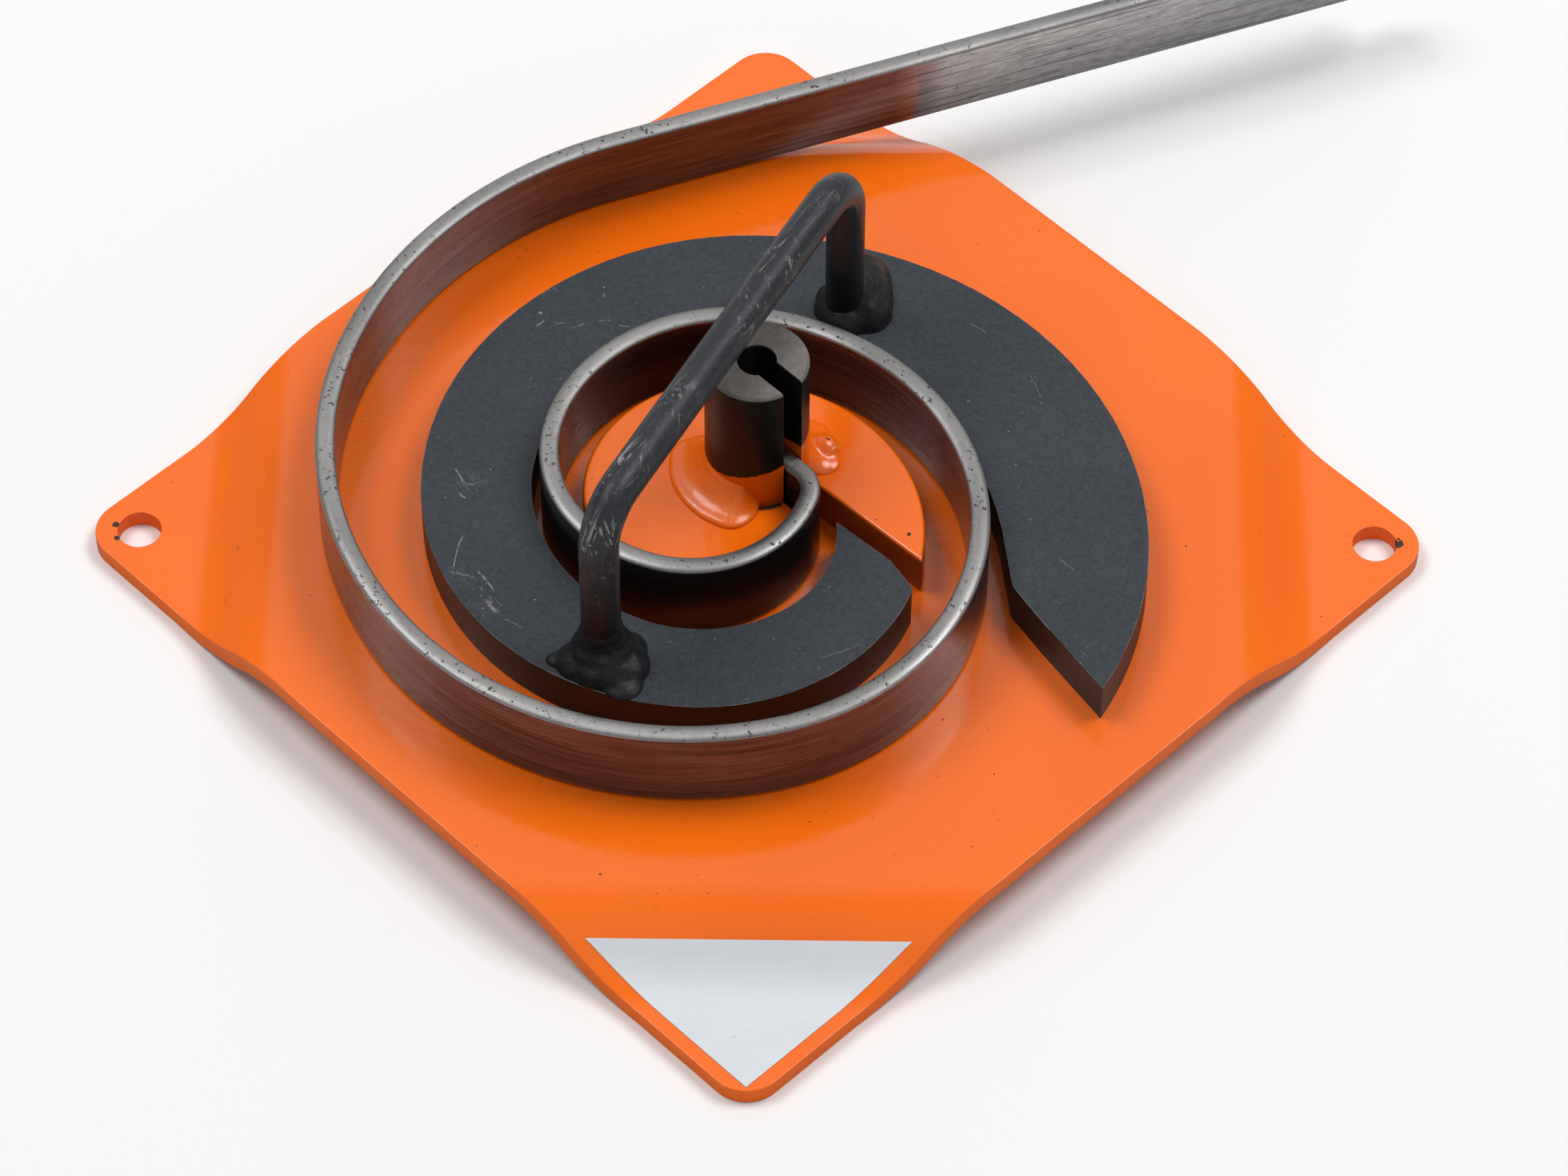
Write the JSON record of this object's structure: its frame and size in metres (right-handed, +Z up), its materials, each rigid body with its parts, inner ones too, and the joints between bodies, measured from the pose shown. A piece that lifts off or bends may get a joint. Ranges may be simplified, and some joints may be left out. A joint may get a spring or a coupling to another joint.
{
  "type": "bench scroll bender",
  "caption": "Bench scroll bender: square foot plate with a fixed spiral former and slotted post, a lift-off outer former with a handle, and a flat bar wound in it.",
  "frame": {"origin": "on the bench, midway between the two fixing holes", "axes": "+Z up; the fixing holes lie along X; the labelled corner points to -Y"},
  "size_m": [0.2722, 0.2854, 0.0695],
  "materials": {
    "orange_paint": "glossy powder coat",
    "black_paint": "satin black, worn at the edges",
    "bright_steel": "ground",
    "label_foil": "bare satin label",
    "mill_steel": "mill finish, streaked"
  },
  "bodies": {
    "base": {"base_plate": "orange_paint", "inner_former": "orange_paint", "centre_post": "black_paint", "post_weld": "orange_paint", "post_tack_weld": "orange_paint", "post_root_weld": "orange_paint", "former_plug_welds": "orange_paint", "locating_dowels": "bright_steel", "blank_label": "label_foil"},
    "loose_former": {"outer_former": "black_paint", "lift_handle": "black_paint", "front_handle_weld": "black_paint", "rear_handle_weld": "black_paint"},
    "bar": {"flat_bar": "mill_steel"}
  },
  "joints": [
    {"name": "former_lift", "type": "slide", "parent": "base", "child": "loose_former", "axis": [0, 0, 1], "range_m": [0, 0.06]},
    {"name": "bar_lift", "type": "slide", "parent": "base", "child": "bar", "axis": [0, 0, 1], "range_m": [0, 0.028]}
  ]
}
